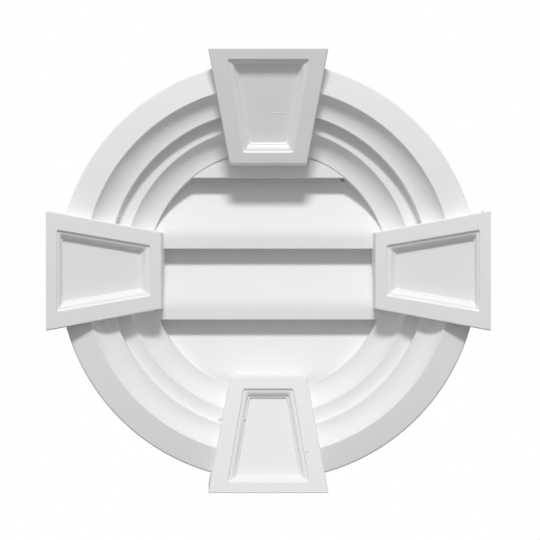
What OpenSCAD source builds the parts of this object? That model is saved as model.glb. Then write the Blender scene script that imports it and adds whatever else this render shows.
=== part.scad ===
// Round louvre vent: a moulded ring trim with four panelled keystones and fixed sloping blades.
// The vent is drawn face up, its back on the plane z = 0, and is then stood up to face -Y.

/* [Ring] */
// Diameter of the louvre opening
opening_d = 387; // [300:1:480]
// Width of the inner cove, from the opening to the flat band
inner_cove_w = 36; // [20:0.5:60]
// Depth of the inner cove
inner_cove_depth = 23.5; // [6:0.5:28]
// Width of the flat band between the two coves
band_w = 23.5; // [8:0.5:50]
// Height of the step from the flat band up to the outer cove
step_h = 20; // [6:0.5:30]
// Width of the outer cove
outer_cove_w = 35; // [20:0.5:60]
// Depth of the outer cove
outer_cove_depth = 23.5; // [6:0.5:28]
// Width of the bevelled outer band
bevel_w = 40; // [20:0.5:70]
// Fall of the outer band from its ridge to the outer edge
bevel_fall = 2; // [1:0.5:12]
// Draft of the outer wall, in degrees
wall_draft = 2; // [0:0.5:5]

/* [Keystones] */
// Number of keystones, evenly spaced from the top
keystone_count = 4; // [1:1:6]
// Width of the wide outer end
keystone_outer_w = 185; // [140:1:220]
// Width of the narrow inner end
keystone_inner_w = 122; // [90:1:150]
// Distance that the outer end stands past the ring's edge
keystone_overhang = 13.5; // [0:0.5:40]
// Distance that the inner end stands in over the opening
keystone_reach = 25; // [5:0.5:60]
// Height of the inner end's top edge over the ring's inner edge
keystone_rise = 43.5; // [20:0.5:60]
// Tilt of the face towards the centre, in degrees
keystone_tilt = 19.5; // [6:0.5:24]

/* [Keystone panels] */
// Width of the sunk panel's opening at the outer end
panel_outer_w = 125; // [90:1:150]
// Width of the sunk panel's opening at the inner end
panel_inner_w = 78; // [50:1:88]
// Border of plain face past the panel's outer end
panel_outer_border = 17.5; // [8:0.5:35]
// Border of plain face past the panel's inner end
panel_inner_border = 18.5; // [8:0.5:35]
// Width of the moulding round the panel, with its ledge
moulding_w = 11; // [8:0.5:18]
// Width of the flat ledge at the foot of the moulding
ledge_w = 2.25; // [1:0.25:4]
// Depth of the panel's floor under the face
panel_depth = 14.5; // [10:0.5:20]
// Height of the small square steps at the head and the foot of the moulding
quirk_h = 3.25; // [1:0.25:4.75]

/* [Louvre] */
// Height of the lip edge nearest over the centre line
centre_lip_z = 35; // [0:1:60]
// Distance from lip to lip
blade_pitch = 114; // [90:1:140]
// Height of the upright lip
lip_h = 25; // [12:0.5:32]
// Slope of the blades, in degrees from upright
blade_slope = 22.5; // [15:0.5:28]
// Thickness of a blade
blade_t = 8; // [5:0.5:11]
// Height that a blade runs up behind the lip over it
blade_overlap = 4; // [0:0.5:15]
// Radius of the blend from the slope to the lip
lip_blend_r = 50; // [10:1:60]
// Distance of the lips behind the ring's inner edge
lip_setback = 3; // [1:0.5:8]
// Distance of the blades' back edges from the wall
blade_back_gap = 1; // [0.5:0.5:6]

/* [Hidden] */
$fn = 128;

// Radii of the ring's ridges, worked out from the opening
opening_r = opening_d / 2;
band_inner_r = opening_r + inner_cove_w;
step_r = band_inner_r + band_w;
ridge_r = step_r + outer_cove_w;
ring_r = ridge_r + bevel_w;

// Louvre: blades are as tall as the pitch and the overlap, and their depth follows from the slope
blade_h = blade_pitch + blade_overlap;
slope_run = (blade_h - lip_h) * tan(blade_slope);
lip_depth = blade_back_gap + slope_run + blade_t / cos(blade_slope);
lowest_blade = -ceil((opening_r + centre_lip_z) / blade_pitch);
highest_blade = ceil((opening_r - centre_lip_z) / blade_pitch) - 1;
blend_steps = 6;

// Heights of the ring's ridges over the wall, built up from the lips
inner_edge_h = lip_depth + lip_setback;
band_h = inner_edge_h + inner_cove_depth;
step_top_h = band_h + step_h;
ridge_h = step_top_h + outer_cove_depth;
edge_h = ridge_h - bevel_fall;

// Keystones: radial ends, and heights of the tilted face at those ends
keystone_in_r = opening_r - keystone_reach;
keystone_out_r = ring_r + keystone_overhang;
keystone_len = keystone_out_r - keystone_in_r;
keystone_in_h = inner_edge_h + keystone_rise;
keystone_out_h = keystone_in_h + keystone_len * tan(keystone_tilt);
face_len = keystone_len / cos(keystone_tilt);

// Panel: outline on the tilted face, measured along the face from the keystone's inner end
panel_len = face_len - panel_inner_border - panel_outer_border;
panel_side_angle = atan((panel_outer_w - panel_inner_w) / 2 / panel_len);

// Ovolo of the moulding: an arc that starts level and falls ovolo_h over ovolo_w
ovolo_w = moulding_w - ledge_w;
ovolo_h = panel_depth - 2 * quirk_h;
ovolo_angle = 2 * atan(ovolo_h / ovolo_w);
ovolo_r = ovolo_w / sin(ovolo_angle);
ovolo_steps = 8;

// Parts that are joined run this far into each other
bite = 3;
// Cutters run this far past what they cut
over = 1;
// Longer than any cut across a keystone
reach = 2 * face_len;

// Radius of the arc that falls by depth over width and ends level
function cove_radius(width, depth) = (width * width + depth * depth) / (2 * depth);

// Circle that cuts a cove whose level end is at radius r and height h
module cove_cut(r, h, width, depth) {
    cove_r = cove_radius(width, depth);
    translate([r, h + cove_r]) circle(r = cove_r);
}

// Half section of the ring: a bevel, a cove, a step, a flat band and a cove
module ring_section() {
    bevel_rise = bevel_fall / bevel_w * (bevel_w + outer_cove_w);
    difference() {
        polygon([
            [opening_r, 0],
            [ring_r + edge_h * tan(wall_draft), 0],
            [ring_r, edge_h],
            [step_r, edge_h + bevel_rise],
            [step_r, band_h],
            [opening_r, band_h]
        ]);
        cove_cut(step_r, step_top_h, outer_cove_w, outer_cove_depth);
        cove_cut(opening_r, inner_edge_h, inner_cove_w, inner_cove_depth);
    }
}

module ring() {
    rotate_extrude() ring_section();
}

// Point of the moulding's ovolo at angle a, as distance from the panel's edge and height
function ovolo_point(a) = [ovolo_r * sin(a), -quirk_h - ovolo_r * (1 - cos(a))];

// Section of the moulding, from the panel's edge inwards: a step, the ovolo, a ledge, a step and the floor
function moulding_section() = concat(
    [[0, over]],
    [for (i = [0 : ovolo_steps]) ovolo_point(ovolo_angle * i / ovolo_steps)],
    [
        [moulding_w, quirk_h - panel_depth],
        [moulding_w, -panel_depth],
        [reach, -panel_depth],
        [reach, over]
    ]
);

// Space inside one edge of the panel: the edge runs along Y at x = 0 and the panel lies towards +X
module panel_edge_cut() {
    translate([0, reach / 2, 0]) rotate([90, 0, 0]) linear_extrude(reach) polygon(moulding_section());
}

// Sunk panel, mitred where its four edges meet, on a face at z = 0 with the keystone's inner end at y = 0
module panel_cut() {
    intersection() {
        translate([-panel_inner_w / 2, panel_inner_border, 0]) rotate(panel_side_angle) panel_edge_cut();
        translate([panel_inner_w / 2, panel_inner_border, 0]) rotate(180 - panel_side_angle) panel_edge_cut();
        translate([0, panel_inner_border, 0]) rotate(90) panel_edge_cut();
        translate([0, face_len - panel_outer_border, 0]) rotate(-90) panel_edge_cut();
    }
}

// Keystone towards +Y: the front outline trimmed by the side outline, which gives the tilted face
module keystone() {
    intersection() {
        linear_extrude(keystone_out_h) polygon([
            [-keystone_inner_w / 2, keystone_in_r],
            [keystone_inner_w / 2, keystone_in_r],
            [keystone_outer_w / 2, keystone_out_r],
            [-keystone_outer_w / 2, keystone_out_r]
        ]);
        translate([-keystone_outer_w / 2, 0, 0])
            rotate([90, 0, 90])
            linear_extrude(keystone_outer_w)
            polygon([
                [keystone_in_r, 0],
                [keystone_out_r, 0],
                [keystone_out_r, keystone_out_h],
                [keystone_in_r, keystone_in_h]
            ]);
    }
}

// Moves what is drawn on a level face onto the tilted face of the keystone towards +Y
module on_keystone_face() {
    translate([0, keystone_in_r, keystone_in_h]) rotate([keystone_tilt, 0, 0]) children();
}

// Repeats what is drawn for the keystone towards +Y round the ring
module at_keystones() {
    for (i = [0 : keystone_count - 1]) rotate(i * 360 / keystone_count) children();
}

// Section of a blade in height and depth, its lip's lower edge at the origin and its back towards -Y.
// The lip runs down by drop, and an arc blends the lip into the slope.
module blade_section(drop) {
    tangent_len = lip_blend_r * tan(blade_slope / 2);
    blend_start = lip_h - tangent_len;
    polygon(concat(
        [[-drop, 0]],
        [for (i = [0 : blend_steps])
            let (a = blade_slope * i / blend_steps)
            [blend_start + lip_blend_r * sin(a), -lip_blend_r * (1 - cos(a))]],
        [
            [blade_h, -slope_run],
            [blade_h, -slope_run - blade_t / cos(blade_slope)],
            [lip_h - blade_t * tan(blade_slope / 2), -blade_t],
            [-drop, -blade_t]
        ]
    ));
}

// Row of blades across the opening. The ends bite into the ring, and the lowest lip runs down into it.
module louvre() {
    intersection() {
        cylinder(h = inner_edge_h, r = opening_r + bite);
        for (i = [lowest_blade : highest_blade])
            translate([-opening_r - 2 * bite, centre_lip_z + i * blade_pitch, lip_depth])
                rotate([90, 0, 90])
                linear_extrude(opening_d + 4 * bite)
                blade_section(i == lowest_blade ? 2 * bite : 0);
    }
}

module vent_moulding() {
    color("white") rotate([90, 0, 0]) difference() {
        union() {
            ring();
            louvre();
            at_keystones() keystone();
        }
        at_keystones() on_keystone_face() panel_cut();
    }
}

vent_moulding();
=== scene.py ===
# Round louvre vent: one primed moulding worked out as numpy surfaces, with its floor, lights and camera.
# Lengths are millimetres for the moulding, and metres for its coat, the studio and the camera.
# Heights (p) count out from the wall, which is the plane y = 0.
import math

import bpy
import numpy as np
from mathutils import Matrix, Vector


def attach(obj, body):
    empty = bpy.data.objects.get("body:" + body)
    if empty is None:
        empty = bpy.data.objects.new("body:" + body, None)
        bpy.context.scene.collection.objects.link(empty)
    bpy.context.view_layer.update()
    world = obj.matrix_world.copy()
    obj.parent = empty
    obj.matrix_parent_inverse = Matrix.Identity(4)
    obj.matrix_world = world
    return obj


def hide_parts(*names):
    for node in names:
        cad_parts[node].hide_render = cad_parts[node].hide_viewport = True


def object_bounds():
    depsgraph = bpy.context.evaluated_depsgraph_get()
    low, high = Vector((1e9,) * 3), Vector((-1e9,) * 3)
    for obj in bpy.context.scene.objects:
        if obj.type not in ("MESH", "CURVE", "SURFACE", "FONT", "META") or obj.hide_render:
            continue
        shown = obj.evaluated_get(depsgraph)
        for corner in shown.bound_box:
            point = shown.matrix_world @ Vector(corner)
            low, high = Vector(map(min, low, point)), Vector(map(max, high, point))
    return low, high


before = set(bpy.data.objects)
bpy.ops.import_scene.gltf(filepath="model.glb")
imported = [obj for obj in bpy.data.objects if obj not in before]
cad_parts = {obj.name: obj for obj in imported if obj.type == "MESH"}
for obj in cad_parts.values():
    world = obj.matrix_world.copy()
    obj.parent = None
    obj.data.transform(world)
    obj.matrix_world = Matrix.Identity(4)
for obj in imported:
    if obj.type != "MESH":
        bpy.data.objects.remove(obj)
cadLow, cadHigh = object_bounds()
mm = 0.001
tiny = 1e-6                 # millimetres, under which two points are one
reach = cadHigh.z / mm      # keystones' outer ends, from the centre
depth = -cadLow.y / mm      # keystones' highest edge, over the wall
print("frame loaded: reach %.1f mm, depth %.1f mm" % (reach, depth))


# Each corner C along the first axis gives way to the parabola (1-t)^2 A + 2t(1-t) C + t^2 B, where
# A and B lie on the two sides of C, one leg away from it. A leg of 0 keeps C as it is.
def soften(corners, legs, samples=6):
    corners = np.asarray(corners, float)
    legs = np.asarray(legs, float)
    legs = legs.reshape(legs.shape + (1,) * (corners.ndim - legs.ndim))

    def along(neighbours):
        way = neighbours - corners
        return corners + way / np.linalg.norm(way, axis=-1, keepdims=True) * legs

    a, b = along(np.roll(corners, 1, 0)), along(np.roll(corners, -1, 0))
    t = np.linspace(0, 1, samples).reshape((1, samples) + (1,) * (corners.ndim - 1))
    curve = (1 - t) ** 2 * a[:, None] + 2 * t * (1 - t) * corners[:, None] + t ** 2 * b[:, None]
    curve = curve.reshape((-1,) + corners.shape[1:])
    jump = np.abs(curve - np.roll(curve, 1, 0)).reshape(len(curve), -1).max(1)
    return curve[jump > tiny]


# Closed outline with points added so that none lie further apart than the step: each coordinate is
# read along the length of the outline.
def denser(outline, step):
    closed = np.vstack([outline, outline[:1]])
    length = np.concatenate([[0], np.cumsum(np.linalg.norm(np.diff(closed, axis=0), axis=1))])
    at = np.union1d(length[:-1], np.arange(0, length[-1] - step / 2, step))
    return np.stack([np.interp(at, length, column) for column in closed.T], 1)


# Points of an arc that starts level at (r, p) and rises by rise over width: its radius is
# (width^2 + rise^2) / (2 rise), and the angle runs evenly from 0 to the arc's end.
def coveArc(r, p, width, rise, steps):
    radius = (width ** 2 + rise ** 2) / (2 * rise)
    turn = np.linspace(0, math.asin(width / radius), steps + 1)
    return np.stack([r + radius * np.sin(turn), p + radius * (1 - np.cos(turn))], 1)


# Solid whose skin is a grid of points: quads join neighbouring rows and columns, the columns close
# round, and the rows close round too or end in a cap each. Quads with a negative volume are turned over.
def gridSolid(name, grid, rowsClose=False):
    rows, cols = grid.shape[:2]
    index = np.arange(rows * cols).reshape(rows, cols)
    side = np.roll(index, -1, 1)
    quads = np.stack([index, side, np.roll(side, -1, 0), np.roll(index, -1, 0)], -1)
    quads = (quads if rowsClose else quads[:-1]).reshape(-1, 4)
    caps = [] if rowsClose else [index[0, ::-1], index[-1]]
    points = grid.reshape(-1, 3) * mm
    q = points[quads] - points.mean(0)
    volume = np.einsum("ij,ij->", q[:, 0], np.cross(q[:, 1], q[:, 2]) + np.cross(q[:, 2], q[:, 3]))
    if volume < 0:
        quads, caps = quads[:, ::-1], [cap[::-1] for cap in caps]
    mesh = bpy.data.meshes.new(name)
    mesh.from_pydata(points.tolist(), [], quads.tolist() + [cap.tolist() for cap in caps])
    solid = bpy.data.objects.new(name, mesh)
    bpy.context.scene.collection.objects.link(solid)
    return solid


# Leaves body as the union or difference of the two solids, and removes the tool
def combine(body, tool, operation):
    cut = body.modifiers.new(operation, "BOOLEAN")
    cut.object, cut.operation, cut.solver = tool, operation, "MANIFOLD"
    bpy.context.view_layer.update()
    made = bpy.data.meshes.new_from_object(body.evaluated_get(bpy.context.evaluated_depsgraph_get()))
    body.modifiers.clear()
    body.data = made
    bpy.data.objects.remove(tool)


louvre = {
    "openingRadius": 193.5,
    "pitch": 114.0,
    "overlap": 4.0,         # how far a blade runs up behind the lip over it
    "centreLip": 35.0,      # lower edge of the lip nearest over the centre
    "lowest": -2,           # blades, counted from that one
    "highest": 1,
    "lipHeight": 25.0,
    "slope": math.radians(22.5),
    "thickness": 8.0,
    "blend": 50.0,          # radius from slope to lip
    "blendSteps": 8,
    "backGap": 2.3,         # from the blades' back edges to the wall
    "bite": 16.0,           # how far the ends run into the ring
    "tip": 1.0,             # the lowest and the highest blade stop this far short of that
    "lipEdge": 1.3,         # softness of the lip's lower edges
    "innerBend": 6.0,
    "topEdge": 0.8,
    "spacing": 3.0,
}
bladeHeight = louvre["pitch"] + louvre["overlap"]
slopeRun = (bladeHeight - louvre["lipHeight"]) * math.tan(louvre["slope"])
slopeWall = louvre["thickness"] / math.cos(louvre["slope"])
lipDepth = louvre["backGap"] + slopeRun + slopeWall


# Section of a blade as (height, p): an upright lip, an arc of the blend radius, and a straight slope
def bladeSection(bottom, top):
    slope, blend = louvre["slope"], louvre["blend"]
    arcStart = louvre["lipHeight"] - blend * math.tan(slope / 2)
    turn = np.linspace(0, slope, louvre["blendSteps"] + 1)
    arc = np.stack([arcStart + blend * np.sin(turn), lipDepth - blend * (1 - np.cos(turn))], 1)
    front = lipDepth - (top - louvre["lipHeight"]) * math.tan(slope)
    bend = louvre["lipHeight"] - louvre["thickness"] * math.tan(slope / 2)
    corners = np.vstack([
        [[bottom, lipDepth]],
        arc,
        [[top, front], [top, front - slopeWall], [bend, lipDepth - louvre["thickness"]],
         [bottom, lipDepth - louvre["thickness"]]],
    ])
    edge = louvre["lipEdge"]
    legs = [edge] + [0] * len(arc) + [louvre["topEdge"]] * 2 + [louvre["innerBend"], edge]
    return denser(soften(corners, legs), louvre["spacing"])


# Blade: the section carried across the opening, with its ends inside the ring at half length
# sqrt(R^2 - z^2). The lowest lip runs down into the ring.
def makeBlade(number):
    lipZ = louvre["centreLip"] + number * louvre["pitch"]
    outer = louvre["openingRadius"] + louvre["bite"]
    bottom = 0 if number > louvre["lowest"] else louvre["tip"] - outer - lipZ
    top = min(bladeHeight, outer - louvre["tip"] - lipZ)
    section = bladeSection(bottom, top)
    z = lipZ + section[:, 0]
    half = np.sqrt(outer ** 2 - z ** 2)
    grid = np.stack([np.stack([x, -section[:, 1], z], 1) for x in (-half, half)])
    return gridSolid("blade%d" % (number - louvre["lowest"]), grid)


ring = {
    "lipSetback": 1.7,      # lips lie this far behind the inner edge
    "innerCove": (36.0, 23.5),
    "band": 23.5,
    "step": 20.0,
    "outerCove": (35.0, 23.5),
    "bevel": (40.0, 2.0),   # width, and fall to the outer edge
    "draft": math.radians(2),
    "edge": 1.6,            # softness of the inner edge
    "arris": 1.3,           # softness of the ridges
    "corner": 1.2,          # softness at the foot of the step
    "rim": 3.2,             # softness of the outer edge
    "back": 0.6,
    "arcSteps": 16,
    "turns": 320,
}


# Ring: a closed half section (r, p) carried round the axis, x = r sin a and z = r cos a
def makeRing():
    r0, p0 = louvre["openingRadius"], lipDepth + ring["lipSetback"]
    inner = coveArc(r0, p0, *ring["innerCove"], ring["arcSteps"])
    r1, p1 = inner[-1]
    r2, p2 = r1 + ring["band"], p1 + ring["step"]
    outer = coveArc(r2, p2, *ring["outerCove"], ring["arcSteps"])
    r3, p3 = outer[-1]
    r4, p4 = r3 + ring["bevel"][0], p3 - ring["bevel"][1]
    wallRadius = r4 + p4 * math.tan(ring["draft"])
    corners = np.vstack([[[r0, 0]], inner, [[r2, p1]], outer, [[r4, p4], [wallRadius, 0]]])
    arc = [0] * (ring["arcSteps"] - 1)
    legs = ([ring["back"], ring["edge"]] + arc + [ring["arris"], ring["corner"], ring["arris"]]
            + arc + [ring["arris"], ring["rim"], ring["back"]])
    section = soften(corners, legs)
    a = np.linspace(0, 2 * math.pi, ring["turns"], endpoint=False)[:, None]
    r, p = section.T
    grid = np.stack([r * np.sin(a), -p + 0 * a, r * np.cos(a)], -1)
    return gridSolid("ring", grid, rowsClose=True)


keystone = {
    "count": 4,
    "outerWidth": 185.0,
    "innerWidth": 122.0,
    "innerRadius": 168.5,
    "tilt": math.radians(19.5),
    "panelOuterWidth": 125.0,
    "panelInnerWidth": 78.0,
    "outerBorder": 17.5,
    "innerBorder": 18.5,
    "moulding": 11.0,       # width with its ledge
    "ovoloSteps": 11,
    "ledge": 2.25,
    "panelDepth": 14.5,
    "floorInset": 8.0,      # from the floor's edge to the cap that closes it
    "quirk": 3.25,          # square steps at head and foot of the moulding
    "draw": 0.5,            # lean of those steps, so that the mould lets go
    "rim": 3.2,             # softness round the face
    "panelEdge": 2.0,       # softness round the panel
    "fold": 1.1,            # softness of the moulding's inner edges
    "corner": 2.0,          # softness of the upright corners
    "panelCorner": 3.6,     # softness of the panel's four corners
    "plugGap": 3.0,
}
span = reach - keystone["innerRadius"]
faceLength = span / math.cos(keystone["tilt"])
innerTop = depth - span * math.tan(keystone["tilt"])
panelLength = faceLength - keystone["innerBorder"] - keystone["outerBorder"]
panelSide = math.atan((keystone["panelOuterWidth"] - keystone["panelInnerWidth"]) / 2 / panelLength)


# Four corners (x, s, w) with half widths at the two ends: s runs along the face from the inner end,
# and w into it
def fourCorners(halfIn, halfOut, sIn, sOut, w=0.0):
    return np.array([[-halfIn, sIn, w], [halfIn, sIn, w], [halfOut, sOut, w], [-halfOut, sOut, w]])


# Panel outline moved in by inset and down by w: the ends move by the inset, and the slanting sides
# by inset / cos
def panelCorners(inset, w):
    sIn, sOut = keystone["innerBorder"] + inset, faceLength - keystone["outerBorder"] - inset
    half = [keystone["panelInnerWidth"] / 2 + (s - keystone["innerBorder"]) * math.tan(panelSide)
            - inset / math.cos(panelSide) for s in (sIn, sOut)]
    return fourCorners(*half, sIn, sOut, w)


# Face coordinates to block coordinates (x, r, p): the face is turned by the tilt about its inner edge
def ontoBlock(corners):
    x, s, w = np.moveaxis(corners, -1, 0)
    c, n = math.cos(keystone["tilt"]), math.sin(keystone["tilt"])
    return np.stack([x, keystone["innerRadius"] + s * c + w * n, innerTop + s * n - w * c], -1)


# Block coordinates to the keystone's place round the ring, at angle a from the top: x cos a + r sin a,
# -p and r cos a - x sin a
def aroundRing(number, x, r, p):
    a = 2 * math.pi * number / keystone["count"]
    return np.stack([x * math.cos(a) + r * math.sin(a), -p + 0 * x, r * math.cos(a) - x * math.sin(a)], -1)


# Keystone: loops of four softened corners, from the back up to the rim, across the border, and down the
# moulding (a step, an ovolo from a level start, a ledge, a step) to the panel's floor
def makeKeystone(number):
    quirk, deep, draw = keystone["quirk"], keystone["panelDepth"], keystone["draw"]
    ovoloWidth, ovoloFall = keystone["moulding"] - keystone["ledge"] - draw, deep - 2 * quirk
    ovoloRadius = (ovoloWidth ** 2 + ovoloFall ** 2) / (2 * ovoloFall)
    turn = np.linspace(0, math.asin(ovoloWidth / ovoloRadius), keystone["ovoloSteps"] + 1)
    ovolo = [panelCorners(draw + i, quirk + w)
             for i, w in zip(ovoloRadius * np.sin(turn), ovoloRadius * (1 - np.cos(turn)))]
    rim = fourCorners(keystone["innerWidth"] / 2, keystone["outerWidth"] / 2, 0, faceLength)
    floor = keystone["moulding"] + draw
    ledge = panelCorners(keystone["moulding"], deep - quirk)
    floors = [panelCorners(floor, deep), panelCorners(floor + keystone["floorInset"], deep)]
    loops = ontoBlock(np.array([rim, rim, panelCorners(0, 0)] + ovolo + [ledge] + floors))
    loops[0, :, 2] = 0
    legs = ([0, keystone["rim"], keystone["panelEdge"], keystone["fold"]] + [0] * (len(ovolo) - 2)
            + [keystone["fold"]] * 3 + [0])
    cornerLegs = [keystone["corner"]] * 2 + [keystone["panelCorner"]] * (len(loops) - 2)
    columns = soften(np.swapaxes(loops, 0, 1), [cornerLegs] * 4)
    x, r, p = np.moveaxis(soften(np.swapaxes(columns, 0, 1), legs), -1, 0)
    return gridSolid("keystone%d" % number, aroundRing(number, x, r, p))


# Plug that clears the ring away inside a keystone: the keystone's outline, a gap smaller all round
def makePlug(number):
    gap = keystone["plugGap"]
    halfIn, halfOut = keystone["innerWidth"] / 2 - gap, keystone["outerWidth"] / 2 - gap
    x, r, _ = fourCorners(halfIn, halfOut, keystone["innerRadius"] + gap, reach - gap).T
    grid = np.stack([aroundRing(number, x, r, p) for p in (-gap, depth + gap)])
    return gridSolid("plug%d" % number, grid)


vent = makeRing()
vent.name = "vent"
for number in range(louvre["lowest"], louvre["highest"] + 1):
    combine(vent, makeBlade(number), "UNION")
for number in range(keystone["count"]):
    combine(vent, makePlug(number), "DIFFERENCE")
    combine(vent, makeKeystone(number), "UNION")

# Faults of the casting. Each has its middle and half sizes as (x, p, z), a turn from +X towards +Z and
# a lean that tips its front up, both in degrees, and either adds a lump or takes a hollow away.
blemishes = {
    "pinhole": ((121.2, 10.1, 146.4), (3.8, 4.6, 2.75), -20, 22.5, "DIFFERENCE"),
    "stepFlash": ((-76.6, 75.0, -235.2), (4.6, 2.6, 1.1), 26, 0, "UNION"),
    "mouldingNick": ((-36.3, 106.0, -236.0), (2.3, 3.4, 2.0), 0, 0, "DIFFERENCE"),
    "footScratch": ((58.8, 134.4, -281.4), (3.8, 1.6, 0.9), 0, 19.5, "DIFFERENCE"),
    "panelScratch": ((17.0, 106.9, 246.9), (11.0, 0.55, 1.1), 0, -19.5, "UNION"),
    "edgeBump": ((330.3, 148.0, 90.6), (2.6, 4.0, 2.2), 0, 0, "UNION"),
    "sideFlash": ((-89.0, 128.0, -322.5), (2.5, 22.0, 16.0), -10, 0, "UNION"),
    "cornerNotch": ((-92.2, 137.0, -334.5), (3.2, 36.0, 2.1), 0, 0, "DIFFERENCE"),
}
ellipsoid = {"pole": 0.1, "rows": 18, "columns": 24}


# Blemish: an ellipsoid, x = a cos u, p = b sin u cos v and z = c sin u sin v, leaned and then turned.
# It is drawn from just off one pole to just off the other, where a cap closes it.
def makeBlemish(name):
    (x, p, z), (a, b, c), turn, lean, operation = blemishes[name]
    u = np.linspace(ellipsoid["pole"], math.pi - ellipsoid["pole"], ellipsoid["rows"])[:, None]
    v = np.linspace(0, 2 * math.pi, ellipsoid["columns"], endpoint=False)
    along, out, up = a * np.cos(u) + 0 * v, b * np.sin(u) * np.cos(v), c * np.sin(u) * np.sin(v)
    cos, sin = math.cos(math.radians(lean)), math.sin(math.radians(lean))
    out, up = out * cos - up * sin, out * sin + up * cos
    cos, sin = math.cos(math.radians(turn)), math.sin(math.radians(turn))
    grid = np.stack([x + along * cos - up * sin, -p - out, z + along * sin + up * cos], -1)
    combine(vent, gridSolid(name, grid), operation)


for name in blemishes:
    makeBlemish(name)
print("moulding: %d faces" % len(vent.data.polygons))

finish = {"sharpAngle": math.radians(38)}
vent.data.shade_smooth()
vent.data.set_sharp_from_angle(angle=finish["sharpAngle"])
evenNormals = vent.modifiers.new("evenNormals", "WEIGHTED_NORMAL")
evenNormals.keep_sharp = True

primer = {
    "lightTone": (0.872, 0.874, 0.877, 1),
    "darkTone": (0.842, 0.846, 0.850, 1),
    "toneScale": 7.0,
    "toneDetail": 4,
    "roughLow": 0.6,
    "roughHigh": 0.72,
    "roughScale": 55.0,
    "roughDetail": 3,
    "shine": 0.2,
    "peelScale": 700.0,     # orange peel of the sprayed coat, about 1.5 mm across
    "peelDepth": 0.00012,
    "peelDetail": 2,
    "waveScale": 16.0,      # slow unevenness of the moulded skin
    "waveDepth": 0.0006,
    "waveDetail": 1,
}


def makePrimer():
    material = bpy.data.materials.new("whitePrimer")
    material.use_nodes = True
    nodes, links = material.node_tree.nodes, material.node_tree.links
    shader = nodes["Principled BSDF"]
    place = nodes.new("ShaderNodeTexCoord")

    def noise(scale, detail):
        made = nodes.new("ShaderNodeTexNoise")
        made.inputs["Scale"].default_value = scale
        made.inputs["Detail"].default_value = detail
        links.new(place.outputs["Object"], made.inputs["Vector"])
        return made.outputs["Fac"]

    tone = nodes.new("ShaderNodeMix")
    tone.data_type = "RGBA"
    tone.inputs["A"].default_value = primer["darkTone"]
    tone.inputs["B"].default_value = primer["lightTone"]
    links.new(noise(primer["toneScale"], primer["toneDetail"]), tone.inputs["Factor"])
    links.new(tone.outputs["Result"], shader.inputs["Base Color"])

    gloss = nodes.new("ShaderNodeMapRange")
    gloss.inputs["To Min"].default_value = primer["roughLow"]
    gloss.inputs["To Max"].default_value = primer["roughHigh"]
    links.new(noise(primer["roughScale"], primer["roughDetail"]), gloss.inputs["Value"])
    links.new(gloss.outputs["Result"], shader.inputs["Roughness"])
    shader.inputs["Specular IOR Level"].default_value = primer["shine"]

    under = None
    for layer in ("wave", "peel"):
        bump = nodes.new("ShaderNodeBump")
        bump.inputs["Strength"].default_value = 1.0
        bump.inputs["Distance"].default_value = primer[layer + "Depth"]
        links.new(noise(primer[layer + "Scale"], primer[layer + "Detail"]), bump.inputs["Height"])
        if under:
            links.new(under.outputs["Normal"], bump.inputs["Normal"])
        under = bump
    links.new(under.outputs["Normal"], shader.inputs["Normal"])
    return material


vent.data.materials.clear()
vent.data.materials.append(makePrimer())
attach(vent, "root")
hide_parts("vent_moulding")
print("primer applied")

studio = {
    "floorDrop": 0.9,       # under the vent's centre
    "floorRadius": 2.0,
    "floorMiddle": 0.02,    # radius of the innermost ring
    "floorRings": 12,
    "floorSpokes": 96,
    "floorRough": 0.9,
    "floorTone": 0.8,
    "floorBounce": 0.1,     # how pale the floor is to light that leaves it for the vent
    "ambientFrom": (-0.35, -0.5, 0.8),
    "ambientHigh": 0.53,    # from there, and from the other side
    "ambientLow": 0.18,
    "keyElevation": math.radians(45),
    "keyDistance": 4.4,
    "keyWidth": 0.95,
    "keyHeight": 0.6,
    "keyPower": 116.5,
}


# 1 for rays from the camera, a gloss or a clear material, and 0 for other light
def seenRays(nodes, links):
    rays = nodes.new("ShaderNodeLightPath")
    seen = rays.outputs["Is Camera Ray"]
    for other in ("Is Glossy Ray", "Is Transmission Ray"):
        either = nodes.new("ShaderNodeMath")
        either.operation = "MAXIMUM"
        links.new(seen, either.inputs[0])
        links.new(rays.outputs[other], either.inputs[1])
        seen = either.outputs[0]
    return seen


# Floor: a disc of rings and spokes, x = r cos a and y = r sin a
def makeFloor():
    r = np.linspace(studio["floorMiddle"], studio["floorRadius"], studio["floorRings"])[:, None]
    a = np.linspace(0, 2 * math.pi, studio["floorSpokes"], endpoint=False)
    points = np.stack([r * np.cos(a), r * np.sin(a), 0 * r * a - studio["floorDrop"]], -1)
    index = np.arange(points.shape[0] * points.shape[1]).reshape(points.shape[:2])
    side = np.roll(index, -1, 1)
    quads = np.stack([index, np.roll(index, -1, 0), np.roll(side, -1, 0), side], -1)[:-1].reshape(-1, 4)
    mesh = bpy.data.meshes.new("floor")
    mesh.from_pydata(points.reshape(-1, 3).tolist(), [], quads.tolist() + [index[0].tolist()])
    floor = bpy.data.objects.new("floor", mesh)
    bpy.context.scene.collection.objects.link(floor)
    material = bpy.data.materials.new("paleFloor")
    material.use_nodes = True
    nodes, links = material.node_tree.nodes, material.node_tree.links
    nodes["Principled BSDF"].inputs["Roughness"].default_value = studio["floorRough"]
    tone = nodes.new("ShaderNodeMapRange")
    tone.inputs["To Min"].default_value = studio["floorBounce"]
    tone.inputs["To Max"].default_value = studio["floorTone"]
    links.new(seenRays(nodes, links), tone.inputs["Value"])
    links.new(tone.outputs["Result"], nodes["Principled BSDF"].inputs["Base Color"])
    floor.data.materials.append(material)


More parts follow.
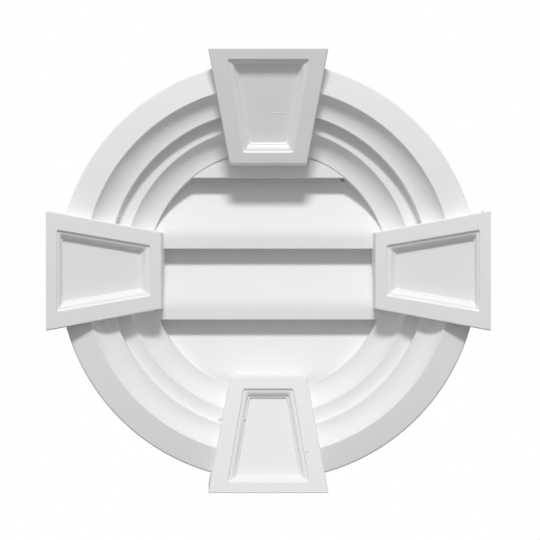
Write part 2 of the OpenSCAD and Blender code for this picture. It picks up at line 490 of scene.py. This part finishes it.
# World: white where the camera, a gloss or a clear material looks, and otherwise a plain ambient level
# that falls evenly from the upper left in front to the lower right behind
def makeWorld():
    world = bpy.data.worlds.new("studio")
    bpy.context.scene.world = world
    world.use_nodes = True
    nodes, links = world.node_tree.nodes, world.node_tree.links
    background = nodes["Background"]
    background.inputs["Color"].default_value = (1, 1, 1, 1)
    direction = nodes.new("ShaderNodeTexCoord")
    facing = nodes.new("ShaderNodeVectorMath")
    facing.operation = "DOT_PRODUCT"
    facing.inputs[1].default_value = studio["ambientFrom"]
    links.new(direction.outputs["Generated"], facing.inputs[0])
    ambient = nodes.new("ShaderNodeMapRange")
    ambient.inputs["From Min"].default_value = -1.0
    ambient.inputs["To Min"].default_value = studio["ambientLow"]
    ambient.inputs["To Max"].default_value = studio["ambientHigh"]
    links.new(facing.outputs["Value"], ambient.inputs["Value"])
    level = nodes.new("ShaderNodeMapRange")
    level.inputs["To Max"].default_value = 1.0
    links.new(seenRays(nodes, links), level.inputs["Value"])
    links.new(ambient.outputs["Result"], level.inputs["To Min"])
    links.new(level.outputs["Result"], background.inputs["Strength"])


# Key: one soft panel above the camera's side of the vent, turned to its centre
def makeKey():
    light = bpy.data.lights.new("key", "AREA")
    light.shape = "RECTANGLE"
    light.size, light.size_y = studio["keyWidth"], studio["keyHeight"]
    light.energy = studio["keyPower"]
    key = bpy.data.objects.new("key", light)
    e, d = studio["keyElevation"], studio["keyDistance"]
    key.location = (0, -d * math.cos(e), d * math.sin(e))
    key.rotation_euler = (-key.location).to_track_quat("-Z", "Y").to_euler()
    bpy.context.scene.collection.objects.link(key)


makeFloor()
makeWorld()
makeKey()
bpy.context.scene.view_settings.view_transform = "Standard"
print("floor, world and key light set")

view = {
    "distance": 2.351,      # from the wall plane
    "lens": 95.4,
    "sensor": 36.0,
    "picture": 540,         # pixels
    "left": 1.7,            # pixels that the vent's centre lies left of the picture's middle
    "under": 0.6,           # and under it
}
camera = bpy.data.objects.new("camera", bpy.data.cameras.new("camera"))
camera.data.sensor_width, camera.data.lens = view["sensor"], view["lens"]
camera.data.shift_x = view["left"] / view["picture"]
camera.data.shift_y = view["under"] / view["picture"]
camera.location = (0, -view["distance"], 0)
camera.rotation_euler = (math.pi / 2, 0, 0)
bpy.context.scene.collection.objects.link(camera)
bpy.context.scene.camera = camera
print("camera set")
